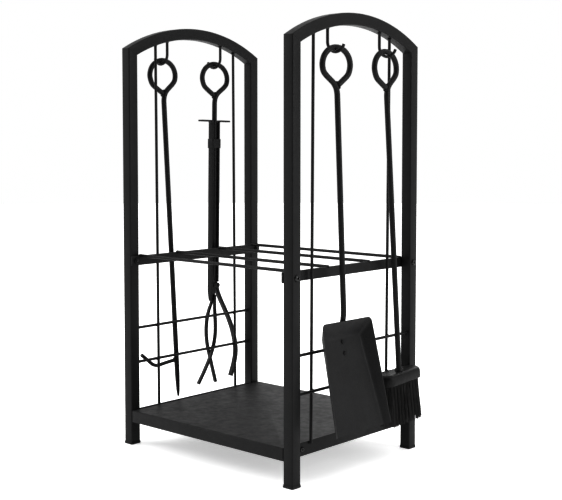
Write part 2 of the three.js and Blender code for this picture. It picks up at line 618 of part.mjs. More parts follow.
SIDES.forEach(([sideName, side]) => addPanel(sideName, side));
addTray();
addShelf();
addPoker();
addTongs();
addShovel();
addBrush();

export default assembly;
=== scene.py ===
"""Looks of the two-tier firewood rack with its poker, tongs, shovel and brush.

Shapes are made in millimetres, about the rack's own middle on the floor or in a tool's own frame (origin at
its ring's centre, -Z down the shaft). They are moved to the frame's origin and scaled to metres when they
become objects.
"""
import math
import random

import bmesh
import bpy
from mathutils import Matrix, Vector, noise


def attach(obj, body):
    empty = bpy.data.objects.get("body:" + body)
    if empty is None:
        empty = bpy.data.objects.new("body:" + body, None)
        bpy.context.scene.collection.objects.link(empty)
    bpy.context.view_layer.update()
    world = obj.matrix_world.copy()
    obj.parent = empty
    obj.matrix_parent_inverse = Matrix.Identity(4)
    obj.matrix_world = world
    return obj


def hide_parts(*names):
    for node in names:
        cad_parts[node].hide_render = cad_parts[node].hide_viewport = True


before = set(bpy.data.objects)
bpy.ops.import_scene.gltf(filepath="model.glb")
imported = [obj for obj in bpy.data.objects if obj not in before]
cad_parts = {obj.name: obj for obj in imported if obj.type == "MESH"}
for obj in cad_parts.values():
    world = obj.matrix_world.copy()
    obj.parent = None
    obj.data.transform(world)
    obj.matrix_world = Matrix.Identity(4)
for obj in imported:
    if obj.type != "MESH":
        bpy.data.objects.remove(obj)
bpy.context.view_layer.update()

MM = 0.001
MIDDLE_X = 13.1    # from the rack's middle, where shapes are drawn, to the frame's origin
SIDES = (("left", -1), ("right", 1))
ENDS = (("front", -1), ("back", 1))

# ---- Frame dimensions ----
WIDTH, DEPTH, HEIGHT, CORNER = 410.0, 334.0, 762.0, 717.0
TUBE, TUBE_CORNER = 20.0, 2.2
PANEL_MID = WIDTH / 2 - TUBE / 2
PANEL_IN = WIDTH / 2 - TUBE
LEG_IN = DEPTH / 2 - TUBE
LEG_MID = DEPTH / 2 - TUBE / 2
FOOT_HEIGHT, FOOT_WIDE = 5.0, 22.0
ARCH_CENTRE = HEIGHT - ((DEPTH / 2) ** 2 + (HEIGHT - CORNER) ** 2) / (2 * (HEIGHT - CORNER))
ARCH_OUTER = HEIGHT - ARCH_CENTRE
ARCH_INNER = ARCH_OUTER - TUBE
ROD = 2.5
ROD_NEAR, ROD_FAR = 96.0, 106.0
HOOK_NEAR, HOOK_FAR = 67.0, 71.0
HOOK_BEND, HOOK_TROUGH, HOOK_SWEEP = 17.5, 694.0, 160
CROSS_ROD_HEIGHTS = (("lower", 147.0), ("upper", 210.0))
RAIL_LOW, RAIL_HIGH, RAIL_THICK = 42.0, 64.0, 3.0
ROD_FOOT = 60.0
TRAY_LOW, TRAY_HIGH, TRAY_SHEET = 42.0, 63.0, 1.5
TRAY_SCREW_Y, TRAY_SCREW_Z = 125.0, 53.0
SHELF_LOW, SHELF_HIGH, SHELF_THICK, SHELF_HALF = 327.0, 344.0, 4.0, 166.5
SHELF_RODS = (-146.0, -55.0, 55.0, 146.0)
SHELF_ROD = 2.75
GAP = 0.3
SHELF_BOLT = {"radius": 5.5, "height": 3.2, "socket": 2.0}
TRAY_SCREW = {"radius": 4.5, "height": 2.3, "socket": 1.6}
THREAD, THREAD_PAST_NUT = 2.8, 5.3

# ---- Tool dimensions ----
HANG_X = PANEL_MID + HOOK_BEND
# Panel side, the hook's Y, the ring's Y, then tilt and lean in degrees.
HANGS = {
    "poker": (-1, -HOOK_NEAR, -63.0, 3.3, 0.0),
    "tongs": (-1, HOOK_FAR, 73.0, -0.9, 0.0),
    "shovel": (1, -HOOK_FAR, -69.6, 2.9, 0.0),
    "brush": (1, HOOK_NEAR, 61.5, 3.2, -1.15),
}
BAR, BAR_SIDES = 4.7, 24
SHAFT_JOIN, SHAFT_HIGH, SHAFT_STEP = -340, -75, 40
RING_WIRE, RING_WIDE, RING_TALL = 4.6, 33.0, 28.0
RING_TWISTS = {"poker": 3.0, "tongs": -1.5, "shovel": -3.0, "brush": 3.0}
POKER_LENGTH, SPUR = 613.0, 3.4
PAN_PLACE, PAN_KICK, PAN_ROLL, PAN_LENGTH = (-7.7, 0.0, -444.9), 15.7, -3.1, 156.5
PAN_SHEET, PAN_CORNER, PAN_RIM_CORNER, PAN_BACK_FLARE = 1.5, 5.0, 9.0, 23.9
PAN_FOLD, FOLD_RUN = 0.22, 3.4     # share of the wall's rise where the fold ends, and its reach on the floor
PAN_BACK = {"half": 49.1, "flare": 14.6, "rise": 20.9}
PAN_MOUTH = {"half": 60.5, "flare": 11.2, "rise": 9.6}
RIVET_DROPS = (9.0, 28.0)
BACK_SPANS = 4     # spans across each half of the pan's back edge
HEAD_TOP, HEAD_HEIGHT, HEAD_STRAIGHT, HEAD_RADIUS = -521.0, 19.0, 34.0, 17.0
SHAFT_IN_HEAD = 11.5
BRISTLE_LENGTH = 72.5
TUFT_ROWS, TUFT_COLUMNS, TUFT_STRANDS = 5, 11, 52
ROW_PITCH, COLUMN_PITCH, TUFT_RADIUS, TUFT_REACH = 5.4, 8.8, 2.3, 12.6
PIVOT = (-1.4, -407.0)
LINK = (8.6, -407.0)
NECK_HALF = 2.2
CLAW_THICK, CLAW_OUT, JAW_HALF, CHEEK_IN = 4.9, 6.9, 5.0, 2.5
PIN_HALF, PIN_RADIUS, PIN_HEAD = 5.3, 1.5, 2.5
ARM_HALF, ARM_INNER, ARM_THICK = 6.5, 6.2, 3.2
COLLAR_Z, COLLAR_HEIGHT, COLLAR_OUT, COLLAR_SHEET = -127.0, 18.0, 0.95, 1.0
ARM_POINT_HIGH, ARM_POINT_LOW, ARM_POINT_HALF = -418.0, -437.0, 3.5
TAB_Z, TAB_REACH = -83.0, 38.0


# ---- Outlines in 2-D ----
def circle(radius, sides=20):
    return [(radius * math.cos(2 * math.pi * i / sides), radius * math.sin(2 * math.pi * i / sides))
            for i in range(sides)]


def rounded_rect(wide, tall, radius, per_corner=4):
    """Counter-clockwise outline of a rectangle with round corners, centred on 0."""
    outline = []
    for corner in range(4):
        middle_x = (wide / 2 - radius) * (1 if corner in (0, 3) else -1)
        middle_y = (tall / 2 - radius) * (1 if corner in (0, 1) else -1)
        for step in range(per_corner + 1):
            angle = math.pi / 2 * (corner + step / per_corner)
            outline.append((middle_x + radius * math.cos(angle), middle_y + radius * math.sin(angle)))
    return outline


def superellipse(half_a, half_b, power, sides=24):
    """A circle at power 2, close to a rectangle at power 7."""
    outline = []
    for i in range(sides):
        angle = 2 * math.pi * i / sides
        c, s = math.cos(angle), math.sin(angle)
        outline.append((half_a * math.copysign(abs(c) ** (2 / power), c),
                        half_b * math.copysign(abs(s) ** (2 / power), s)))
    return outline


def stadium(straight, radius, per_end=14):
    """Round-ended bar along Y."""
    outline = []
    for end, start in ((1, 0.0), (-1, math.pi)):
        for i in range(per_end + 1):
            angle = start + math.pi * i / per_end
            outline.append((radius * math.cos(angle), end * straight + radius * math.sin(angle)))
    return outline


def inset(outline, amount):
    """The outline moved inward by amount, for a counter-clockwise outline."""
    moved = []
    count = len(outline)
    for i in range(count):
        before, after = Vector(outline[i - 1]), Vector(outline[(i + 1) % count])
        along = (after - before).normalized()
        moved.append((outline[i][0] - along.y * amount, outline[i][1] + along.x * amount))
    return moved


# ---- Paths ----
def smooth_path(points, per_span=8):
    """Centripetal Catmull-Rom curve through the points."""
    points = [Vector(p) for p in points]
    ends = [points[0] * 2 - points[1]] + points + [points[-1] * 2 - points[-2]]
    path = [points[0]]
    for i in range(1, len(ends) - 2):
        p0, p1, p2, p3 = ends[i - 1:i + 3]
        d0, d1, d2 = ((b - a).length ** 0.5 for a, b in ((p0, p1), (p1, p2), (p2, p3)))
        m1 = ((p1 - p0) / d0 - (p2 - p0) / (d0 + d1) + (p2 - p1) / d1) * d1
        m2 = ((p2 - p1) / d1 - (p3 - p1) / (d1 + d2) + (p3 - p2) / d2) * d1
        for step in range(1, per_span + 1):
            t = step / per_span
            path.append(p1 * (2 * t ** 3 - 3 * t ** 2 + 1) + m1 * (t ** 3 - 2 * t ** 2 + t)
                        + p2 * (3 * t ** 2 - 2 * t ** 3) + m2 * (t ** 3 - t ** 2))
    return path


def densify(path, longest):
    """Extra points so that no step is longer than longest."""
    dense = [path[0]]
    for start, end in zip(path, path[1:]):
        count = max(1, math.ceil((end - start).length / longest))
        dense += [start.lerp(end, i / count) for i in range(1, count + 1)]
    return dense


# ---- Shapes: (points, faces), in millimetres ----
def loft(rings, closed=False):
    count = len(rings[0])
    points = [p for ring in rings for p in ring]
    faces = []
    spans = len(rings) if closed else len(rings) - 1
    for r in range(spans):
        a, b = r * count, (r + 1) % len(rings) * count
        faces += [(a + i, a + (i + 1) % count, b + (i + 1) % count, b + i) for i in range(count)]
    if not closed:
        faces.append(tuple(reversed(range(count))))
        faces.append(tuple(range(len(points) - count, len(points))))
    return points, faces


def merge(*shapes):
    points, faces = [], []
    for shape_points, shape_faces in shapes:
        start = len(points)
        points += shape_points
        faces += [tuple(start + i for i in face) for face in shape_faces]
    return points, faces


def sweep(path, outlines, side=None, closed=False):
    """Outlines carried along the path; side is the direction of their first axis, if it is fixed."""
    rings = []
    across = side
    for i, point in enumerate(path):
        if closed:
            tangent = (path[(i + 1) % len(path)] - path[i - 1]).normalized()
        else:
            tangent = (path[min(i + 1, len(path) - 1)] - path[max(i - 1, 0)]).normalized()
        if across is None:
            across = tangent.orthogonal()
        first = (across - tangent * across.dot(tangent)).normalized()
        if side is None:
            across = first
        second = tangent.cross(first)
        outline = outlines[i] if isinstance(outlines[0][0], (tuple, list)) else outlines
        rings.append([point + first * a + second * b for a, b in outline])
    return loft(rings, closed)


def tube(path, radius, sides=20, flare_start=0.0, flare_end=0.0):
    """Round bar with softened ends. A flare is how far a weld fillet spreads at that end."""
    path = [Vector(p) for p in path]
    total = sum((b - a).length for a, b in zip(path, path[1:]))
    soft = radius * 0.18
    first, last = (path[1] - path[0]).normalized(), (path[-1] - path[-2]).normalized()
    heads = (0.0, soft, soft * 2.2, radius * 0.9, radius * 1.4)
    heads = [h for h in heads if h < total / 3]
    middle = [p for p in path[1:-1]
              if (p - path[0]).length > heads[-1] and (p - path[-1]).length > heads[-1]]
    stations = [path[0] + first * h for h in heads] + middle + [path[-1] - last * h for h in reversed(heads)]
    radii = [radius] * len(stations)

    def end_radius(distance, flare):
        if flare:
            return radius + flare * max(0.0, 1 - distance / (radius * 0.9)) ** 1.6
        return radius * (0.82 if distance == 0 else 1.0)

    for i, h in enumerate(heads):
        radii[i] = end_radius(h, flare_start)
        radii[-1 - i] = end_radius(h, flare_end)
    return sweep(stations, [circle(r, sides) for r in radii])


def block(low, high, corner=0.6, edge=0.4):
    """Box with round upright corners and softened top and bottom edges."""
    size = [b - a for a, b in zip(low, high)]
    middle = [(a + b) / 2 for a, b in zip(low, high)]
    full = rounded_rect(size[0], size[1], corner)
    small = rounded_rect(size[0] - 2 * edge, size[1] - 2 * edge, max(corner - edge, 0.05))
    levels = ((low[2], small), (low[2] + edge, full), (high[2] - edge, full), (high[2], small))
    return loft([[Vector((middle[0] + x, middle[1] + y, z)) for x, y in outline] for z, outline in levels])


def plate(outline, near, far, edge=0.35):
    """A flat (y, z) outline, counter-clockwise, thickened along X."""
    small = inset(outline, edge)
    levels = ((near, small), (near + edge, outline), (far - edge, outline), (far, small))
    return loft([[Vector((x, y, z)) for y, z in shape] for x, shape in levels])


def lathe(profile, centre, axis, sides=24):
    """profile is (radius, distance along axis) from one end to the other."""
    axis = Vector(axis).normalized()
    first = axis.orthogonal().normalized()
    second = axis.cross(first)
    centre = Vector(centre)
    rings = []
    for radius, along in profile:
        middle = centre + axis * along
        rings.append([middle + first * a + second * b for a, b in circle(radius, sides)])
    return loft(rings)


def bead(centre, size, seed):
    """A small uneven lump of weld metal."""
    rings = []
    for level in range(1, 8):
        tilt = math.pi * level / 8
        rings.append([Vector((a, b, math.cos(tilt))) for a, b in circle(math.sin(tilt), 12)])
    points, faces = loft(rings)
    lumpy = [p * (1 + 0.18 * noise.noise(p * 1.7 + Vector((seed, seed * 0.7, 0)))) for p in points]
    return [Vector(centre) + Vector((p.x * size[0], p.y * size[1], p.z * size[2])) for p in lumpy], faces


# ---- Materials ----
def new_material(name):
    material = bpy.data.materials.new(name)
    material.use_nodes = True
    nodes = material.node_tree.nodes
    return material, nodes, material.node_tree.links, nodes["Principled BSDF"]


def noise_node(nodes, links, scale, detail=4.0, roughness=0.55, stretch=(1, 1, 1)):
    coordinates = nodes.new("ShaderNodeTexCoord")
    mapping = nodes.new("ShaderNodeMapping")
    mapping.inputs["Scale"].default_value = stretch
    texture = nodes.new("ShaderNodeTexNoise")
    texture.inputs["Scale"].default_value = scale
    texture.inputs["Detail"].default_value = detail
    texture.inputs["Roughness"].default_value = roughness
    links.new(coordinates.outputs["Object"], mapping.inputs["Vector"])
    links.new(mapping.outputs["Vector"], texture.inputs["Vector"])
    return texture.outputs["Fac"]


def ramp(nodes, links, source, stops):
    node = nodes.new("ShaderNodeValToRGB")
    elements = node.color_ramp.elements
    while len(elements) < len(stops):
        elements.new(0.5)
    for element, (position, color) in zip(elements, stops):
        element.position = position
        element.color = (*color, 1.0)
    links.new(source, node.inputs["Fac"])
    return node.outputs["Color"]


def map_range(nodes, links, source, low, high, source_low=0.3, source_high=0.7):
    node = nodes.new("ShaderNodeMapRange")
    node.inputs["From Min"].default_value = source_low
    node.inputs["From Max"].default_value = source_high
    node.inputs["To Min"].default_value = low
    node.inputs["To Max"].default_value = high
    links.new(source, node.inputs["Value"])
    return node.outputs["Result"]


def mix(nodes, links, factor, first, second):
    node = nodes.new("ShaderNodeMix")
    node.data_type = "RGBA"
    links.new(factor, node.inputs["Factor"])
    links.new(first, node.inputs["A"])
    links.new(second, node.inputs["B"])
    return node.outputs["Result"]


def bump(nodes, links, height, strength, distance, normal=None):
    node = nodes.new("ShaderNodeBump")
    node.inputs["Strength"].default_value = strength
    node.inputs["Distance"].default_value = distance
    links.new(height, node.inputs["Height"])
    if normal:
        links.new(normal, node.inputs["Normal"])
    return node.outputs["Normal"]


def upward(nodes, links):
    """How far a face looks up, from 0 to 1."""
    geometry = nodes.new("ShaderNodeNewGeometry")
    split = nodes.new("ShaderNodeSeparateXYZ")
    links.new(geometry.outputs["Normal"], split.inputs["Vector"])
    return map_range(nodes, links, split.outputs["Z"], 0.0, 1.0, 0.75, 1.0)


def grey(value):
    return (value, value, value * 1.015)


def powder_coat(name, tone, smooth=0.36, rough=0.50, dust_and_top_light=0.35):
    """Fine-textured satin black powder coat, lighter where it faces up: patchy dust plus painted top light.
    """
    material, nodes, links, shader = new_material(name)
    patches = noise_node(nodes, links, 14, 3)
    coat = ramp(nodes, links, patches, [(0.3, grey(tone * 0.82)), (0.7, grey(tone * 1.2))])
    specks = noise_node(nodes, links, 520, 2, 0.7)
    flecked = ramp(nodes, links, specks, [(0.35, grey(tone * 0.7)), (0.72, grey(tone * 1.75))])
    amount = map_range(nodes, links, noise_node(nodes, links, 60, 2), 0.15, 0.45)
    body = mix(nodes, links, amount, coat, flecked)
    # Upward faces blend towards a lighter grey in patches: partly dust, partly painted light falling from
    # above.
    dust_and_light_patches = noise_node(nodes, links, 35, 6, 0.65)
    dust_and_top_light_tone = ramp(nodes, links, dust_and_light_patches, [(0.42, grey(tone)), (0.75, grey(0.11))])
    dust_and_top_light_share = nodes.new("ShaderNodeMath")
    dust_and_top_light_share.operation = "MULTIPLY"
    dust_and_top_light_share.inputs[1].default_value = dust_and_top_light
    links.new(upward(nodes, links), dust_and_top_light_share.inputs[0])
    links.new(mix(nodes, links, dust_and_top_light_share.outputs[0], body, dust_and_top_light_tone), shader.inputs["Base Color"])
    sheen = map_range(nodes, links, noise_node(nodes, links, 90, 4), smooth, rough)
    links.new(sheen, shader.inputs["Roughness"])
    shader.inputs["Specular IOR Level"].default_value = 0.22
    peel = bump(nodes, links, noise_node(nodes, links, 420, 2, 0.5), 0.22, 0.0004)
    grain = bump(nodes, links, noise_node(nodes, links, 1500, 2, 0.5), 0.16, 0.0002, peel)
    links.new(grain, shader.inputs["Normal"])
    return material


def black_zinc():
    """Smooth glossy black plating, with faint tool marks."""
    material, nodes, links, shader = new_material("black_zinc")
    tone = noise_node(nodes, links, 260, 4)
    plate_color = ramp(nodes, links, tone, [(0.3, (0.035, 0.035, 0.037)), (0.7, (0.075, 0.075, 0.074))])
    links.new(plate_color, shader.inputs["Base Color"])
    shader.inputs["Metallic"].default_value = 1.0
    sheen = map_range(nodes, links, noise_node(nodes, links, 700, 3), 0.18, 0.34)
    links.new(sheen, shader.inputs["Roughness"])
    scratch = noise_node(nodes, links, 900, 3, 0.6, (1, 0.15, 1))
    links.new(bump(nodes, links, scratch, 0.12, 0.0002), shader.inputs["Normal"])
    return material


def moulded_plastic(name, tone, rough):
    """Black moulded plastic with a fine spark-eroded grain."""
    material, nodes, links, shader = new_material(name)
    patches = noise_node(nodes, links, 30, 4)
    color = ramp(nodes, links, patches, [(0.3, grey(tone * 0.85)), (0.7, grey(tone * 1.2))])
    links.new(color, shader.inputs["Base Color"])
    sheen = map_range(nodes, links, noise_node(nodes, links, 200, 3), rough - 0.06, rough + 0.08)
    links.new(sheen, shader.inputs["Roughness"])
    grain = bump(nodes, links, noise_node(nodes, links, 1100, 3, 0.6), 0.3, 0.0003)
    links.new(grain, shader.inputs["Normal"])
    shader.inputs["Specular IOR Level"].default_value = 0.3
    return material


def bristle_fibre():
    """Stiff black filament with fine streaks along it."""
    material, nodes, links, shader = new_material("bristle_fibre")
    streaks = noise_node(nodes, links, 900, 2, 0.5, (1, 1, 0.02))
    color = ramp(nodes, links, streaks, [(0.3, (0.006, 0.006, 0.006)), (0.7, (0.06, 0.059, 0.058))])
    links.new(color, shader.inputs["Base Color"])
    sheen = map_range(nodes, links, noise_node(nodes, links, 300, 2), 0.38, 0.6)
    links.new(sheen, shader.inputs["Roughness"])
    shader.inputs["Specular IOR Level"].default_value = 0.45
    ridges = noise_node(nodes, links, 2500, 2, 0.5, (1, 1, 0.05))
    links.new(bump(nodes, links, ridges, 0.2, 0.0002), shader.inputs["Normal"])
    return material


def pale_floor():
    material, nodes, links, shader = new_material("pale_floor")
    tone = noise_node(nodes, links, 3, 3)
    color = ramp(nodes, links, tone, [(0.3, (0.86, 0.86, 0.86)), (0.7, (0.90, 0.90, 0.90))])
    links.new(color, shader.inputs["Base Color"])
    shader.inputs["Roughness"].default_value = 0.7
    shader.inputs["Emission Color"].default_value = (1, 1, 1, 1)
    shader.inputs["Emission Strength"].default_value = 0.55
    links.new(bump(nodes, links, noise_node(nodes, links, 60, 4), 0.03, 0.001), shader.inputs["Normal"])
    return material


# The last number is the share of dust and painted top light on upward faces.
TUBE_COAT = powder_coat("tube_powder_coat", 0.017)
TRAY_COAT = powder_coat("tray_powder_coat", 0.026, 0.42, 0.58, 0.25)
TOOL_COAT = powder_coat("tool_powder_coat", 0.014, 0.34, 0.48, 0.05)
PAN_COAT = powder_coat("pan_powder_coat", 0.024, 0.40, 0.54, 0.1)
ZINC = black_zinc()
FOOT_PLASTIC = moulded_plastic("foot_plastic", 0.016, 0.5)
HEAD_PLASTIC = moulded_plastic("brush_plastic", 0.008, 0.46)
FIBRE = bristle_fibre()


def piece(name, body, slot, material, shape, nodes=(), place=None, sharp=38):
    """Makes one object from a shape, hangs it on its body and hides the CAD parts it stands for."""
    points, faces = shape
    if place is not None:
        points = [place @ p for p in points]
    mesh = bpy.data.meshes.new(name)
    mesh.from_pydata([(p - Vector((MIDDLE_X, 0, 0))) * MM for p in points], [], faces)
    edit = bmesh.new()
    edit.from_mesh(mesh)
    bmesh.ops.recalc_face_normals(edit, faces=edit.faces)
    edit.to_mesh(mesh)
    edit.free()
    mesh.shade_smooth()
    mesh.set_sharp_from_angle(angle=math.radians(sharp))
    mesh.materials.append(material)
    obj = bpy.data.objects.new(name, mesh)
    bpy.context.scene.collection.objects.link(obj)
    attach(obj, body)
    if nodes:
        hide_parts(*nodes)
    return obj


# ---- End panels ----
def arch_underside(y):
    return ARCH_CENTRE + math.sqrt(ARCH_INNER ** 2 - y ** 2)


def mitre_height(reach):
    """Height of the mitre plane at a distance from the middle."""
    share = (reach - LEG_IN) / TUBE
    inner = arch_underside(LEG_IN)
    return inner + share * (CORNER - inner)


def leg_shape(side, end):
    outline = rounded_rect(TUBE, TUBE, TUBE_CORNER, 5)
    rings = []
    for level in ("foot", "low", "high"):
        ring = []
        for a, b in outline:
            y = end * LEG_MID + b
            top = mitre_height(abs(y)) - 0.05
            z = {"foot": FOOT_HEIGHT, "low": FOOT_HEIGHT + 1, "high": top}[level]
            ring.append(Vector((side * PANEL_MID + a, y, z)))
        rings.append(ring)
    return loft(rings)


def arch_shape(side):
    outline = rounded_rect(TUBE, TUBE, TUBE_CORNER, 5)
    rings = []
    stations = 72
    for station in range(stations + 1):
        ring = []
        for a, b in outline:
            radius = ARCH_INNER + TUBE / 2 + b
            share = (radius - ARCH_INNER) / TUBE
            start = (1 - share) * math.acos(LEG_IN / ARCH_INNER) + share * math.acos(DEPTH / 2 / ARCH_OUTER)
            angle = start + (math.pi - 2 * start) * station / stations
            ring.append(Vector((side * PANEL_MID + a, radius * math.cos(angle),
                                ARCH_CENTRE + radius * math.sin(angle))))
        rings.append(ring)
    return loft(rings)


def mitre_seam(side, end):
    """The ground-down weld around the mitre."""
    loop = []
    for a, b in rounded_rect(TUBE - 0.7, TUBE - 0.7, TUBE_CORNER, 5):
        y = end * (LEG_MID + b)
        loop.append(Vector((side * PANEL_MID + a, y, mitre_height(abs(y)))))
    loop = densify(loop + [loop[0]], 1.2)[:-1]
    outlines = []
    for i, point in enumerate(loop):
        swell = 0.62 + 0.14 * noise.noise(point * 0.9)
        outlines.append(circle(swell, 8))
    return sweep(loop, outlines, closed=True)


def foot_shape(side, end):
    x, y = side * PANEL_MID, end * LEG_MID
    levels = ((0.0, 1.0, 2.4), (0.7, 0.0, 2.8), (1.6, 0.0, 2.8), (4.0, 1.0, 2.4), (4.6, 1.4, 2.3),
              (4.9, 2.4, 2.0))
    rings = []
    for z, shrink, corner in levels:
        outline = rounded_rect(FOOT_WIDE - shrink, FOOT_WIDE - shrink, corner, 5)
        rings.append([Vector((x + a, y + b, z)) for a, b in outline])
    return loft(rings)


def upright_x(z):
    foot = PANEL_IN + RAIL_THICK + GAP + ROD
    return foot + (PANEL_MID - foot) * (z - ROD_FOOT) / (HEIGHT - ROD_FOOT)


def upright_shape(side, y):
    top = arch_underside(abs(y) + ROD) + 0.6
    return tube([(side * upright_x(ROD_FOOT), y, ROD_FOOT), (side * upright_x(top), y, top)], ROD, 18,
                flare_end=1.3)


def cross_rod_shape(side, z):
    x = side * (upright_x(z) + 2 * ROD + GAP)
    return tube([(x, -LEG_IN, z), (x, LEG_IN, z)], ROD, 18, 1.0, 1.0)


def hook_shape(side, y):
    top = arch_underside(abs(y) + ROD) + 0.6
    bend = HOOK_TROUGH + HOOK_BEND
    path = [Vector((side * PANEL_MID, y, top)), Vector((side * PANEL_MID, y, (top + bend) / 2))]
    for turn in range(0, HOOK_SWEEP + 1, 8):
        angle = math.radians(turn)
        path.append(Vector((side * (PANEL_MID + HOOK_BEND * (1 - math.cos(angle))), y,
                            bend - HOOK_BEND * math.sin(angle))))
    return tube(path, ROD, 18, flare_start=1.3)


def rail_welds(side, rods):
    """Weld beads where the uprights meet the side rail and where the cross rods pass them."""
    beads = []
    foot_x = side * (PANEL_IN + RAIL_THICK + 1.2)
    for y in rods:
        beads.append(bead((foot_x, y + 2.2, ROD_FOOT + 1.6), (1.5, 1.5, 2.2), y))
        beads.append(bead((foot_x, y - 2.2, ROD_FOOT + 1.4), (1.5, 1.5, 2.0), -y))
        for _, z in CROSS_ROD_HEIGHTS:
            x = side * (upright_x(z) + ROD + GAP / 2)
            beads.append(bead((x, y + 1.6, z + 1.5), (1.3, 1.6, 1.6), y + z))
            beads.append(bead((x, y - 1.7, z - 1.4), (1.3, 1.6, 1.5), y - z))
    return merge(*beads)


def build_panel(side_name, side):
    coat = ("rack", "frame_steel", TUBE_COAT)
    piece(f"arch_tube_{side_name}", *coat, arch_shape(side), [f"arch_{side_name}"])
    low, high = sorted((side * PANEL_IN, side * (PANEL_IN + RAIL_THICK)))
    rail = block((low, -LEG_IN, RAIL_LOW), (high, LEG_IN, RAIL_HIGH))
    piece(f"side_rail_bar_{side_name}", *coat, rail, [f"side_rail_{side_name}"])
    rods = []
    for end_name, end in ENDS:
        place = f"{side_name}_{end_name}"
        near = side * end > 0
        rod_y = end * (ROD_NEAR if near else ROD_FAR)
        hook_y = end * (HOOK_NEAR if near else HOOK_FAR)
        rods.append(rod_y)
        piece(f"leg_tube_{place}", *coat, leg_shape(side, end), [f"leg_{place}"])
        piece(f"mitre_weld_{place}", *coat, mitre_seam(side, end))
        piece(f"foot_{place}", "rack", "foot_plastic", FOOT_PLASTIC, foot_shape(side, end),
              [f"foot_cap_{place}"])
        piece(f"upright_{place}", *coat, upright_shape(side, rod_y), [f"upright_rod_{place}"])
        piece(f"hook_bar_{place}", *coat, hook_shape(side, hook_y), [f"hook_{place}"])
    for level, z in CROSS_ROD_HEIGHTS:
        place = f"{side_name}_{level}"
        piece(f"cross_bar_{place}", *coat, cross_rod_shape(side, z), [f"cross_rod_{place}"])
    piece(f"rod_welds_{side_name}", *coat, rail_welds(side, rods))


# ---- Tray, shelf and their screws ----
def build_tray():
    """Folded sheet: a top with four lips, bent with a small radius."""
    half_x, half_y, bend, bend_steps = PANEL_IN - 0.4, DEPTH / 2 - 0.2, 2.2, 6
    levels = []
    for step in range(bend_steps + 1):
        angle = math.pi / 2 * step / bend_steps
        levels.append((TRAY_HIGH - bend + bend * math.sin(angle), bend * (1 - math.cos(angle))))
    outside = [(TRAY_LOW, 0.0)] + levels
    inside = [(TRAY_LOW, TRAY_SHEET)] + [(z - TRAY_SHEET, shrink + TRAY_SHEET) for z, shrink in levels]
    rings = []
    for z, shrink in list(reversed(inside)) + outside:
        outline = rounded_rect(2 * (half_x - shrink), 2 * (half_y - shrink), max(1.6 - shrink * 0.4, 0.3))
        rings.append([Vector((a, b, z)) for a, b in outline])
    piece("tray_sheet", "rack", "tray_steel", TRAY_COAT, loft(rings), ["log_tray"], sharp=30)


def socket_head(centre, axis, radius, height, socket):
    """Button-head bolt with a hexagon socket."""
    sides = 24
    axis = Vector(axis)
    first = axis.orthogonal().normalized()
    second = axis.cross(first)
    centre = Vector(centre)

    def ring(size, along, hexagon=False):
        points = []
        for i in range(sides):
            angle = 2 * math.pi * i / sides
            reach = size
            if hexagon:
                reach *= math.cos(math.pi / 6) / math.cos((angle % (math.pi / 3)) - math.pi / 6)
            outward = first * math.cos(angle) + second * math.sin(angle)
            points.append(centre + axis * along + outward * reach)
        return points

    rings = [ring(radius * 0.96, 0), ring(radius, height * 0.08)]
    for step in range(1, 6):
        angle = math.pi / 2 * step / 6
        size = socket + (radius - socket) * math.cos(angle)
        rings.append(ring(size, height * (0.12 + 0.86 * math.sin(angle))))
    for size, along in ((socket * 1.08, height), (socket, height * 0.94), (socket, height * 0.35)):
        rings.append(ring(size, along, True))
    return loft(rings)


def build_shelf():
    coat = ("rack", "frame_steel", TUBE_COAT)
    middle = (SHELF_LOW + SHELF_HIGH) / 2
    outer = PANEL_IN - GAP
    for side_name, side in SIDES:
        near, far = sorted((side * (outer - SHELF_THICK), side * outer))
        shapes = [block((near, -SHELF_HALF, SHELF_LOW), (far, SHELF_HALF, SHELF_HIGH))]
        for _, end in ENDS:
            shapes.append(nut_shape((side * (outer - SHELF_THICK), end * LEG_MID, middle), -side))
        for i, y in enumerate(SHELF_RODS):
            for shift in (-3.0, 3.0):
                shapes.append(bead((side * (outer - SHELF_THICK / 2), y + shift, SHELF_HIGH + 0.1),
                                   (1.7, 1.3, 1.0), i + shift + side))
        piece(f"shelf_side_{side_name}", *coat, merge(*shapes), [f"shelf_bar_{side_name}"])
        for end_name, end in ENDS:
            place = f"{side_name}_{end_name}"
            head = socket_head((side * (WIDTH / 2 + 0.05), end * LEG_MID, middle), (side, 0, 0), **SHELF_BOLT)
            thread = tube([(side * (outer + 1), end * LEG_MID, middle),
                           (side * (outer - SHELF_THICK - THREAD_PAST_NUT), end * LEG_MID, middle)], THREAD)
            piece(f"shelf_bolt_head_{place}", "rack", "bolt_steel", ZINC, merge(head, thread),
                  [f"shelf_bolt_{place}"])
    for i, y in enumerate(SHELF_RODS):
        bar = tube([(-outer, y, SHELF_HIGH), (outer, y, SHELF_HIGH)], SHELF_ROD)
        piece(f"shelf_bar_rod_{i + 1}", *coat, bar, [f"shelf_rod_{i + 1}"])


def nut_shape(centre, direction):
    """Hexagon weld nut with chamfered corners, on the given side of its seat."""
    rings = []
    for size, along in ((5.1, 0.0), (5.4, 0.35), (5.4, 3.1), (5.0, 3.6)):
        rings.append([Vector(centre) + Vector((direction * along, a, b)) for a, b in circle(size, 6)])
    return loft(rings)


def build_tray_screws():
    for side_name, side in SIDES:
        for end_name, end in ENDS:
            place = f"{side_name}_{end_name}"
            seat = Vector((side * (PANEL_IN + RAIL_THICK + 0.1), end * TRAY_SCREW_Y, TRAY_SCREW_Z))
            piece(f"tray_screw_head_{place}", "rack", "bolt_steel", ZINC,
                  socket_head(seat, (side, 0, 0), **TRAY_SCREW), [f"tray_screw_{place}"])


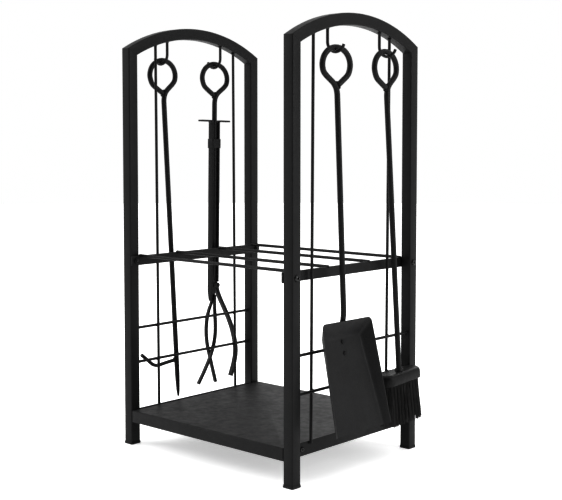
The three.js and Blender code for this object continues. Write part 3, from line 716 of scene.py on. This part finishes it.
# ---- Tools ----
def tool_place(tool):
    """Where a tool hangs: its ring's inner top rests on the hook."""
    side, hook_y, y, tilt, lean = HANGS[tool]
    turn = math.radians(tilt)
    off_centre = (hook_y - y + RING_TALL * math.sin(turn)) / (RING_WIDE - RING_WIRE)
    inner_top = (RING_TALL - RING_WIRE) * math.sqrt(1 - off_centre ** 2)
    height = HOOK_TROUGH + ROD + GAP - inner_top
    return (Matrix.Translation((side * HANG_X, y, height)) @ Matrix.Rotation(turn, 4, "X")
            @ Matrix.Rotation(math.radians(lean), 4, "Y"))


def ring_turn(tool):
    return Matrix.Rotation(math.radians(RING_TWISTS[tool]), 3, "Z")


def ring_path(tool, side):
    """From the shaft round the ring, to the end that butts against the shaft."""
    points = [(0, 0, -62), (0, 0, -54), (0, side * 0.3, -45), (0, side * 2.6, -36.5), (0, side * 8, -29.2),
              (0, side * 15.6, -23.2), (0, side * 23.8, -17.3)]
    for turn in range(-20, 206, 25):
        angle = math.radians(turn)
        points.append((0, side * RING_WIDE * math.cos(angle), RING_TALL * math.sin(angle)))
    points += [(0, -side * 26, -17.2), (0, -side * 16, -24.2), (0, -side * 2.2, -32.8)]
    return [ring_turn(tool) @ p for p in smooth_path(points, 7)]


def ring_weld(tool, side):
    """Where the ring's end is welded back on the shaft."""
    points, faces = merge(bead((0, -side * 3.6, -36.4), (4.2, 2.2, 3.0), 3 + side),
                          bead((0, side * 1.0, -28.2), (3.8, 2.0, 2.2), 8 + side))
    return [ring_turn(tool) @ p for p in points], faces


def ringed_bar(tool, side, levels, radii=()):
    """Round bar through the levels and round the ring. radii are those of its first stations."""
    path = [Vector((0, 0, z)) for z in levels] + ring_path(tool, side)
    sizes = [*radii] + [BAR] * (len(path) - len(radii))
    sizes[-1] = BAR * 0.9
    return sweep(path, [circle(r, BAR_SIDES) for r in sizes], side=Vector((1, 0, 0)))


def plain_shaft(tool, stations):
    """Round bar from its lower end to its welded ring. stations are (z, radius) near the lower end."""
    lower = [z for z, _ in stations]
    rising = range(int(lower[-1]) + 20, SHAFT_HIGH, SHAFT_STEP)
    return merge(ringed_bar(tool, 1, [*lower, *rising], [r for _, r in stations]), ring_weld(tool, 1))


def forged_shaft(tool, side, rings):
    """Shaft with a shaped lower part, given as rings, below a round bar with its ring."""
    upper = ringed_bar(tool, side, range(SHAFT_JOIN, SHAFT_HIGH, SHAFT_STEP))
    return merge(upper, loft(rings), ring_weld(tool, side))


def build_poker():
    poker = ("poker", "tool_steel", TOOL_COAT)
    place = tool_place("poker")
    tip = -POKER_LENGTH
    taper = [(tip, 1.2), (tip + 0.8, 1.9), (tip + 10, 3.2), (tip + 30, 4.2), (tip + 45, 4.6), (tip + 60, BAR)]
    piece("poker_bar", *poker, plain_shaft("poker", taper), ["poker_handle"], place)
    points = [(0, -3.6, -541), (0, -30, -542), (0, -50, -542.5), (0, -60, -538.5), (0, -72, -528),
              (0, -86, -515.5)]
    path = smooth_path(points)
    spur = sweep(path, circle(SPUR, 20), side=Vector((1, 0, 0)))
    weld = merge(bead((0, -5.2, -538), (3.4, 2.2, 2.2), 5), bead((0, -5.2, -544.2), (3.4, 2.2, 2.0), 6))
    piece("poker_spur", *poker, merge(spur, weld), ["poker_prong"], place)


def spread(path, sizes):
    """A value for each point of the path, between the given ones, by distance along it."""
    total = sum((b - a).length for a, b in zip(path, path[1:]))
    values, walked = [], 0.0
    for i, point in enumerate(path):
        if i:
            walked += (point - path[i - 1]).length
        share = walked / total * (len(sizes) - 1)
        index = min(int(share), len(sizes) - 2)
        values.append(sizes[index] + (sizes[index + 1] - sizes[index]) * (share - index))
    return values


def flat_bar(points, near, far, thickness, per_span=8, edge=0.5):
    """Bar bent in the YZ plane, spanning X from near to far (numbers, or lists along its length)."""
    path = smooth_path([(0, y, z) for y, z in points], per_span)
    lows = spread(path, near if isinstance(near, list) else [near, near])
    highs = spread(path, far if isinstance(far, list) else [far, far])
    outlines = []
    for low, high in zip(lows, highs):
        middle = (low + high) / 2
        outlines.append([(a + middle, b) for a, b in rounded_rect(high - low, thickness, edge, 3)])
    return sweep(path, outlines, side=Vector((1, 0, 0)))


def link_outline(low, low_radius, high, high_radius):
    """Outline round two circles whose centres are (y, z) points at one height."""
    tilt = math.asin((low_radius - high_radius) / (high[0] - low[0]))
    outline = []
    for centre, radius, start, end in ((high, high_radius, tilt - math.pi / 2, math.pi / 2 - tilt),
                                       (low, low_radius, math.pi / 2 - tilt, 1.5 * math.pi + tilt)):
        for step in range(15):
            angle = start + (end - start) * step / 14
            outline.append((centre[0] + radius * math.cos(angle), centre[1] + radius * math.sin(angle)))
    return outline


def pin_shape(centre):
    """Pin along X with domed heads."""
    near_end = [(PIN_HEAD * 0.55, 1.0), (PIN_HEAD * 0.9, 0.7), (PIN_HEAD, 0.0), (PIN_RADIUS, -0.05)]
    profile = [(radius, -PIN_HALF - past) for radius, past in near_end]
    profile += [(radius, PIN_HALF + past) for radius, past in reversed(near_end)]
    return lathe(profile, (0, *centre), (1, 0, 0), 20)


def tongs_shaft():
    """Round bar whose lower end is hammered into a flat neck."""
    neck_y = 4.2
    levels = ((-439.6, NECK_HALF * 0.8, neck_y * 0.9, 5), (-439, NECK_HALF, neck_y, 6),
              (-398, NECK_HALF, neck_y, 6), (-391, 3.0, 4.4, 3.5), (-384, 4.2, 4.6, 2.4), (-378, BAR, BAR, 2))
    rings = [[Vector((a, b, z)) for a, b in superellipse(half_x, half_y, power)]
             for z, half_x, half_y, power in levels]
    rings.append([Vector((a, b, SHAFT_JOIN)) for a, b in circle(BAR, BAR_SIDES)])
    return forged_shaft("tongs", 1, rings)


def arm_shape(side):
    """Flat bar with its thumb tab bent out at the top."""
    line = ARM_INNER + ARM_THICK / 2
    foot = LINK[1] + 7.2 if side > 0 else ARM_POINT_LOW
    corner, corner_steps = 4.0, 6
    lower = (foot, ARM_POINT_HIGH, ARM_POINT_HIGH + 6) if side < 0 else (foot, foot + 6, foot + 20)
    path = [Vector((0, side * line, z)) for z in (*lower, -220, -140, TAB_Z - corner - 4)]
    for step in range(corner_steps + 1):
        angle = math.pi / 2 * step / corner_steps
        path.append(Vector((0, side * (line + corner * (1 - math.cos(angle))),
                            TAB_Z - corner + corner * math.sin(angle))))
    path.append(Vector((0, side * (TAB_REACH - 1), TAB_Z)))
    path.append(Vector((0, side * TAB_REACH, TAB_Z)))
    outline = rounded_rect(2 * ARM_HALF, ARM_THICK, 0.6, 3)
    outlines = [outline] * (len(path) - 1) + [rounded_rect(2 * ARM_HALF - 1.4, ARM_THICK - 0.9, 0.5, 3)]
    if side < 0:
        outlines[0] = rounded_rect(2 * ARM_POINT_HALF, ARM_THICK * 0.8, 0.6, 3)
    arm = sweep(path, outlines, side=Vector((1, 0, 0)))
    if side < 0:
        return arm
    tongue = [(line, foot + 4), (line, foot - 1), (line - 0.1, foot - 3), (LINK[0] + 0.1, LINK[1] + 2)]
    tongue_bar = flat_bar(tongue, -NECK_HALF, NECK_HALF, ARM_THICK, 4)
    eye = [(LINK[0] + a, LINK[1] + b) for a, b in circle(4, 28)]
    return merge(arm, tongue_bar, plate(eye, -NECK_HALF, NECK_HALF, 0.4))


def collar_shape():
    """Thin band folded round both arms."""
    half_x, half_y = ARM_HALF + COLLAR_OUT, ARM_INNER + ARM_THICK + COLLAR_OUT
    loop = [Vector((a, b, COLLAR_Z)) for a, b in rounded_rect(2 * half_x, 2 * half_y, 1.6, 5)]
    section = rounded_rect(COLLAR_HEIGHT, COLLAR_SHEET, 0.4, 3)
    return sweep(loop, section, side=Vector((0, 0, 1)), closed=True)


def claw_shapes():
    """The two fixed claws, outer and inner, which cross side by side below the neck."""
    near = [CHEEK_IN, 0.4, 0.4, 0.4, 0.4]
    outer = [(0, -425.5), (0, -440), (-8, -457), (-13, -475), (-14.5, -500), (-11, -526), (-3.5, -551),
             (12, -601)]
    inner = [(0, -425.5), (0, -440), (1.2, -459), (3.1, -479), (3.2, -502), (-1.2, -525), (-9.6, -546),
             (-24.5, -571.5), (-42, -597)]
    return (flat_bar(outer, -CLAW_OUT, [-x for x in near], CLAW_THICK),
            flat_bar(inner, near, CLAW_OUT, CLAW_THICK))


def jaw_shape():
    """Bent blade with two cheeks that hold the pivot and link pins."""
    blade = [(8.9, -411.9), (11.2, -419), (19.2, -435), (33, -458), (45.8, -481), (56, -504.5), (62, -526),
             (64.3, -545), (61.5, -564), (50.5, -594)]
    cheek = link_outline(PIVOT, 4.5, LINK, 5.2)
    return merge(flat_bar(blade, -JAW_HALF, JAW_HALF, CLAW_THICK), plate(cheek, -JAW_HALF, -CHEEK_IN, 0.3),
                 plate(cheek, CHEEK_IN, JAW_HALF, 0.3))


def build_tongs():
    place = tool_place("tongs")
    tongs = ("tongs", "tool_steel", TOOL_COAT)
    slider = ("tongs_slider", "tool_steel", TOOL_COAT)
    outer, inner = claw_shapes()
    piece("tongs_bar", *tongs, tongs_shaft(), ["tongs_handle"], place)
    piece("tongs_finger_outer", *tongs, outer, ["tongs_claw_outer"], place)
    piece("tongs_finger_inner", *tongs, inner, ["tongs_claw_inner"], place)
    piece("tongs_moving_jaw", "tongs_jaw", "tool_steel", TOOL_COAT, jaw_shape(), ["tongs_jaw"], place)
    for name, side in ENDS:
        piece(f"tongs_flat_arm_{name}", *slider, arm_shape(side), [f"tongs_arm_{name}"], place)
    piece("tongs_band", *slider, collar_shape(), ["tongs_collar"], place)
    for name, body, centre in (("pivot", "tongs", PIVOT), ("link", "tongs_slider", LINK)):
        piece(f"tongs_{name}", body, "pin_steel", TOOL_COAT, pin_shape(centre), [f"tongs_{name}_pin"], place)


def pan_edge(share, shift):
    """The pan's plan at a share of the wall's rise, from one mouth corner round the back to the other.

    Shift moves the points inward. In a point, x is up from the floor and z falls towards the mouth.
    """
    steps, turns = 20, 8
    back = PAN_BACK["half"] + PAN_BACK["flare"] * share - shift
    mouth = PAN_MOUTH["half"] + PAN_MOUTH["flare"] * share - shift
    bend = PAN_CORNER + (PAN_RIM_CORNER - PAN_CORNER) * share - shift / 2
    top = PAN_BACK_FLARE * share - shift
    half = []
    for i in range(steps):
        t = i / steps
        rise = share * (PAN_MOUTH["rise"] + (PAN_BACK["rise"] - PAN_MOUTH["rise"]) * t)
        half.append(Vector((rise, mouth + (back - mouth) * t, -PAN_LENGTH + (PAN_LENGTH + top - bend) * t)))
    for i in range(turns + 1):
        angle = math.pi / 2 * i / turns
        half.append(Vector((share * PAN_BACK["rise"], back - bend * (1 - math.cos(angle)),
                            top - bend * (1 - math.sin(angle)))))
    bend_end = half[-1]
    for i in range(1, BACK_SPANS + 1):
        half.append(Vector((bend_end.x, bend_end.y * (1 - i / BACK_SPANS), bend_end.z)))
    return half + [Vector((p.x, -p.y, p.z)) for p in reversed(half[:-1])]


def pan_skin(depth):
    """One face of the sheet, as rings from the rim down the wall, round the fold and onto the floor."""
    wall_lift, lift_span, fold_steps = 0.55, 0.4, 6
    rings = []
    for share in (0.985, 0.97, 0.9, 0.7, 0.45, PAN_FOLD + 0.06):
        lift = depth * wall_lift * min(1.0, (1 - share) / lift_span)
        rings.append([p + Vector((lift, 0, 0)) for p in pan_edge(share, depth)])
    for step in range(1, fold_steps + 1):
        t = step / fold_steps
        edge = pan_edge(PAN_FOLD * (1 - t) ** 2, depth + FOLD_RUN * t ** 2)
        lift = depth * (wall_lift + (1 - wall_lift) * t)
        rings.append([p + Vector((lift, 0, 0)) for p in edge])
    return rings


def pan_shape():
    """Pressed sheet: a floor, softly folded flaring walls and a hemmed rim."""
    outside, inside = pan_skin(0.0), pan_skin(PAN_SHEET)
    lip = [a.lerp(b, 0.5) + Vector((0.12, 0, 0)) for a, b in zip(outside[0], inside[0])]
    rows = list(reversed(inside)) + [lip] + outside
    columns = len(lip)
    points = [p for row in rows for p in row]
    faces = []
    for r in range(len(rows) - 1):
        for c in range(columns - 1):
            a = r * columns + c
            faces.append((a, a + 1, a + columns + 1, a + columns))
    # Each floor is closed by strips between its two long sides.
    last = (len(rows) - 1) * columns
    back = columns // 2 - BACK_SPANS
    for start in (0, last):
        for c in range(back - 1):
            faces.append((start + c, start + c + 1, start + columns - 2 - c, start + columns - 1 - c))
        faces.append(tuple(range(start + back - 1, start + columns - back + 1)))
    # The mouth's edge joins the two faces of the sheet.
    count = len(rows)
    for r in range(count // 2):
        a, b, c, d = r, r + 1, count - 2 - r, count - 1 - r
        for column in (0, columns - 1):
            corner = [i * columns + column for i in ((a, b, c, d) if b < c else (a, b, d))]
            faces.append(tuple(corner))
    faces.append((0, last, last + columns - 1, columns - 1))
    return points, faces


def shovel_shaft(pan_local):
    """Shaft whose lower end is set back and hammered flat into a tongue behind the pan."""
    levels = []
    middle = -GAP - 1.5
    for z, half_x, half_y, power in ((-40.8, 0.8, 2.2, 2.2), (-39.6, 1.4, 4.6, 3), (-37, 1.5, 6.2, 4),
                                     (-33, 1.5, 7, 5), (-12, 1.5, 7, 5), (-3, 1.5, 6.8, 5)):
        outline = superellipse(half_x, half_y, power)
        levels.append([pan_local @ Vector((middle + a, b, z)) for a, b in outline])
    for x, z, half_x, half_y, power in ((-7.4, -436, 1.9, 6.4, 3.6), (-4.6, -426, 2.8, 5.9, 2.8),
                                        (-1.8, -416, 3.9, 5.3, 2.2), (-0.4, -408, 4.6, 4.9, 2)):
        levels.append([Vector((x + a, b, z)) for a, b in superellipse(half_x, half_y, power)])
    levels += [[Vector((a, b, z)) for a, b in circle(BAR, BAR_SIDES)] for z in (-398, SHAFT_JOIN)]
    return forged_shaft("shovel", -1, levels)


def build_shovel():
    hang = tool_place("shovel")
    pan_local = (Matrix.Translation(PAN_PLACE) @ Matrix.Rotation(math.radians(-PAN_KICK), 4, "Y")
                 @ Matrix.Rotation(math.radians(PAN_ROLL), 4, "X"))
    piece("shovel_bar", "shovel", "tool_steel", TOOL_COAT, shovel_shaft(pan_local), ["shovel_handle"], hang)
    pan_place = hang @ pan_local
    piece("shovel_scoop", "shovel", "pan_steel", PAN_COAT, pan_shape(), ["shovel_pan"], pan_place, sharp=50)
    profile = [(2.2, -4.8), (3.4, -4.6), (3.6, -3.7), (2.2, -3.6), (2.2, 1.6), (3.8, 1.6), (3.7, 2.1),
               (3.1, 2.8), (2.0, 3.3), (0.8, 3.5)]
    for i, drop in enumerate(RIVET_DROPS):
        piece(f"shovel_rivet_head_{i + 1}", "shovel", "pin_steel", TOOL_COAT,
              lathe(profile, (0, 0, -drop), (1, 0, 0)), [f"shovel_rivet_{i + 1}"], pan_place)


def head_shape():
    """Moulded brush block with well rounded edges and a round boss for the shaft."""
    levels = []
    low = HEAD_TOP - HEAD_HEIGHT
    profile = [(0.0, 1.4), (0.5, 0.5), (1.5, 0.0), (9.0, 0.0), (13.0, 0.3), (15.5, 1.2), (17.3, 2.8),
               (18.5, 5.0), (HEAD_HEIGHT, 7.4)]
    for rise, shrink in profile:
        outline = stadium(HEAD_STRAIGHT, HEAD_RADIUS - shrink)
        levels.append([Vector((a, b, low + rise)) for a, b in outline])
    boss = [(8.2, -3.0), (8.0, 0.2), (7.2, 2.6), (6.6, 3.6), (5.6, 4.2), (4.8, 4.3)]
    return merge(loft(levels), lathe(boss, (0, 0, HEAD_TOP), (0, 0, 1)))


def strand(root, tip, bow, radius):
    """One bowed filament that thins towards its tip."""
    rings = []
    for t in (0.0, 0.3, 0.62, 0.88, 1.0):
        centre = root.lerp(tip, t) + bow * math.sin(math.pi * t * 0.5) * t
        thin = radius * (1 - 0.35 * t)
        rings.append([centre + Vector((a, b, 0)) for a, b in circle(thin, 3)])
    return loft(rings)


def bristle_shape():
    """Tufts of filaments set in rows, spreading towards their tips."""
    rng = random.Random(11)
    shapes = []
    top = HEAD_TOP - HEAD_HEIGHT + 0.5
    for row in range(TUFT_ROWS):
        for column in range(TUFT_COLUMNS):
            x = (row - (TUFT_ROWS - 1) / 2) * ROW_PITCH
            y = (column - (TUFT_COLUMNS - 1) / 2) * COLUMN_PITCH
            if math.hypot(x, max(abs(y) - HEAD_STRAIGHT, 0)) > TUFT_REACH:
                continue
            lean = Vector((rng.uniform(-1.6, 1.6), rng.uniform(-1.4, 1.4), 0))
            for _ in range(TUFT_STRANDS):
                angle, reach = rng.uniform(0, 2 * math.pi), TUFT_RADIUS * math.sqrt(rng.random())
                offset = Vector((math.cos(angle), math.sin(angle), 0)) * reach
                root = Vector((x, y, top)) + offset
                tip = Vector((x * 1.22, y * 1.06, top - BRISTLE_LENGTH)) + offset * 1.1 + lean
                tip += Vector((rng.uniform(-0.9, 0.9), rng.uniform(-0.9, 0.9), rng.uniform(0.0, 3.5)))
                bow = Vector((rng.uniform(-0.8, 0.8), rng.uniform(-0.8, 0.8), 0))
                shapes.append(strand(root, tip, bow, rng.uniform(0.26, 0.36)))
    return merge(*shapes)


def build_brush():
    place = tool_place("brush")
    end = HEAD_TOP - SHAFT_IN_HEAD
    shaft = plain_shaft("brush", [(end, BAR * 0.85), (end + 0.8, BAR)])
    piece("brush_bar", "brush", "tool_steel", TOOL_COAT, shaft, ["brush_handle"], place)
    head = head_shape()
    piece("brush_block", "brush", "brush_plastic", HEAD_PLASTIC, head, ["brush_head"], place, sharp=50)
    strands = bristle_shape()
    piece("brush_filaments", "brush", "bristle", FIBRE, strands, ["brush_bristles"], place, sharp=70)


# ---- Stage, light and camera ----
DIM_SIDE = (0.63, -0.78, 0.0)
FLOOR_RADIUS, FLOOR_SIDES = 8, 64
# Place, aim, size and power, in metres and watts.
LIGHTS = {
    "key": ((-2.6, -2.0, 2.2), (0, 0, 0.35), (1.6, 1.6), 52),
    "fill": ((2.8, 0.9, 1.3), (0, 0, 0.4), (1.2, 1.8), 34),
    "top": ((0.2, 0.3, 2.8), (0, 0, 0.3), (2.2, 2.2), 14),
    "rim": ((-0.8, 2.6, 1.8), (0, 0, 0.45), (1.8, 1.4), 24),
}
GAMMA = 0.68
CAMERA_PLACE, CAMERA_DOWN, CAMERA_TURN = (1.3329, -1.4513, 0.5499), 3.28, 42.22
LENS, SENSOR, SHIFT_UP = 70.76, 36, -0.080


def build_stage():
    mesh = bpy.data.meshes.new("floor")
    points = [(a, b, 0) for a, b in circle(FLOOR_RADIUS, FLOOR_SIDES)]
    mesh.from_pydata(points, [], [tuple(range(FLOOR_SIDES))])
    mesh.materials.append(pale_floor())
    floor = bpy.data.objects.new("floor", mesh)
    bpy.context.scene.collection.objects.link(floor)


def area_light(name, location, target, size, power):
    light = bpy.data.lights.new(name, "AREA")
    light.shape = "RECTANGLE"
    light.size, light.size_y = size
    light.energy = power
    obj = bpy.data.objects.new(name, light)
    obj.location = location
    obj.rotation_euler = (Vector(target) - Vector(location)).to_track_quat("-Z", "Y").to_euler()
    bpy.context.scene.collection.objects.link(obj)


def build_studio():
    """White all round, with one dim side to the front right, so that black faces differ in tone."""
    world = bpy.data.worlds.new("studio")
    world.use_nodes = True
    nodes, links = world.node_tree.nodes, world.node_tree.links
    room = nodes["Background"]
    backdrop = nodes.new("ShaderNodeBackground")
    direction = nodes.new("ShaderNodeTexCoord")
    toward = nodes.new("ShaderNodeVectorMath")
    toward.operation = "DOT_PRODUCT"
    toward.inputs[1].default_value = DIM_SIDE
    links.new(direction.outputs["Generated"], toward.inputs[0])
    strength = map_range(nodes, links, toward.outputs["Value"], 1.0, 0.12, 0.3, 0.92)
    links.new(strength, room.inputs["Strength"])
    for background in (room, backdrop):
        background.inputs["Color"].default_value = (1, 1, 1, 1)
    path = nodes.new("ShaderNodeLightPath")
    choose = nodes.new("ShaderNodeMixShader")
    links.new(path.outputs["Is Camera Ray"], choose.inputs["Fac"])
    links.new(room.outputs["Background"], choose.inputs[1])
    links.new(backdrop.outputs["Background"], choose.inputs[2])
    links.new(choose.outputs["Shader"], nodes["World Output"].inputs["Surface"])
    bpy.context.scene.world = world


def build_light():
    view = bpy.context.scene.view_settings
    view.view_transform = "Standard"
    view.gamma = GAMMA
    build_studio()
    for name, settings in LIGHTS.items():
        area_light(name, *settings)


def build_camera():
    camera = bpy.data.cameras.new("camera")
    camera.lens = LENS
    camera.sensor_width = SENSOR
    camera.shift_y = SHIFT_UP
    obj = bpy.data.objects.new("camera", camera)
    obj.location = CAMERA_PLACE
    obj.rotation_euler = (math.radians(90 - CAMERA_DOWN), 0, math.radians(CAMERA_TURN))
    bpy.context.scene.collection.objects.link(obj)
    bpy.context.scene.camera = obj


for panel_name, panel_side in SIDES:
    build_panel(panel_name, panel_side)
build_tray()
build_tray_screws()
build_shelf()
build_poker()
build_tongs()
build_shovel()
build_brush()
build_stage()
build_light()
build_camera()
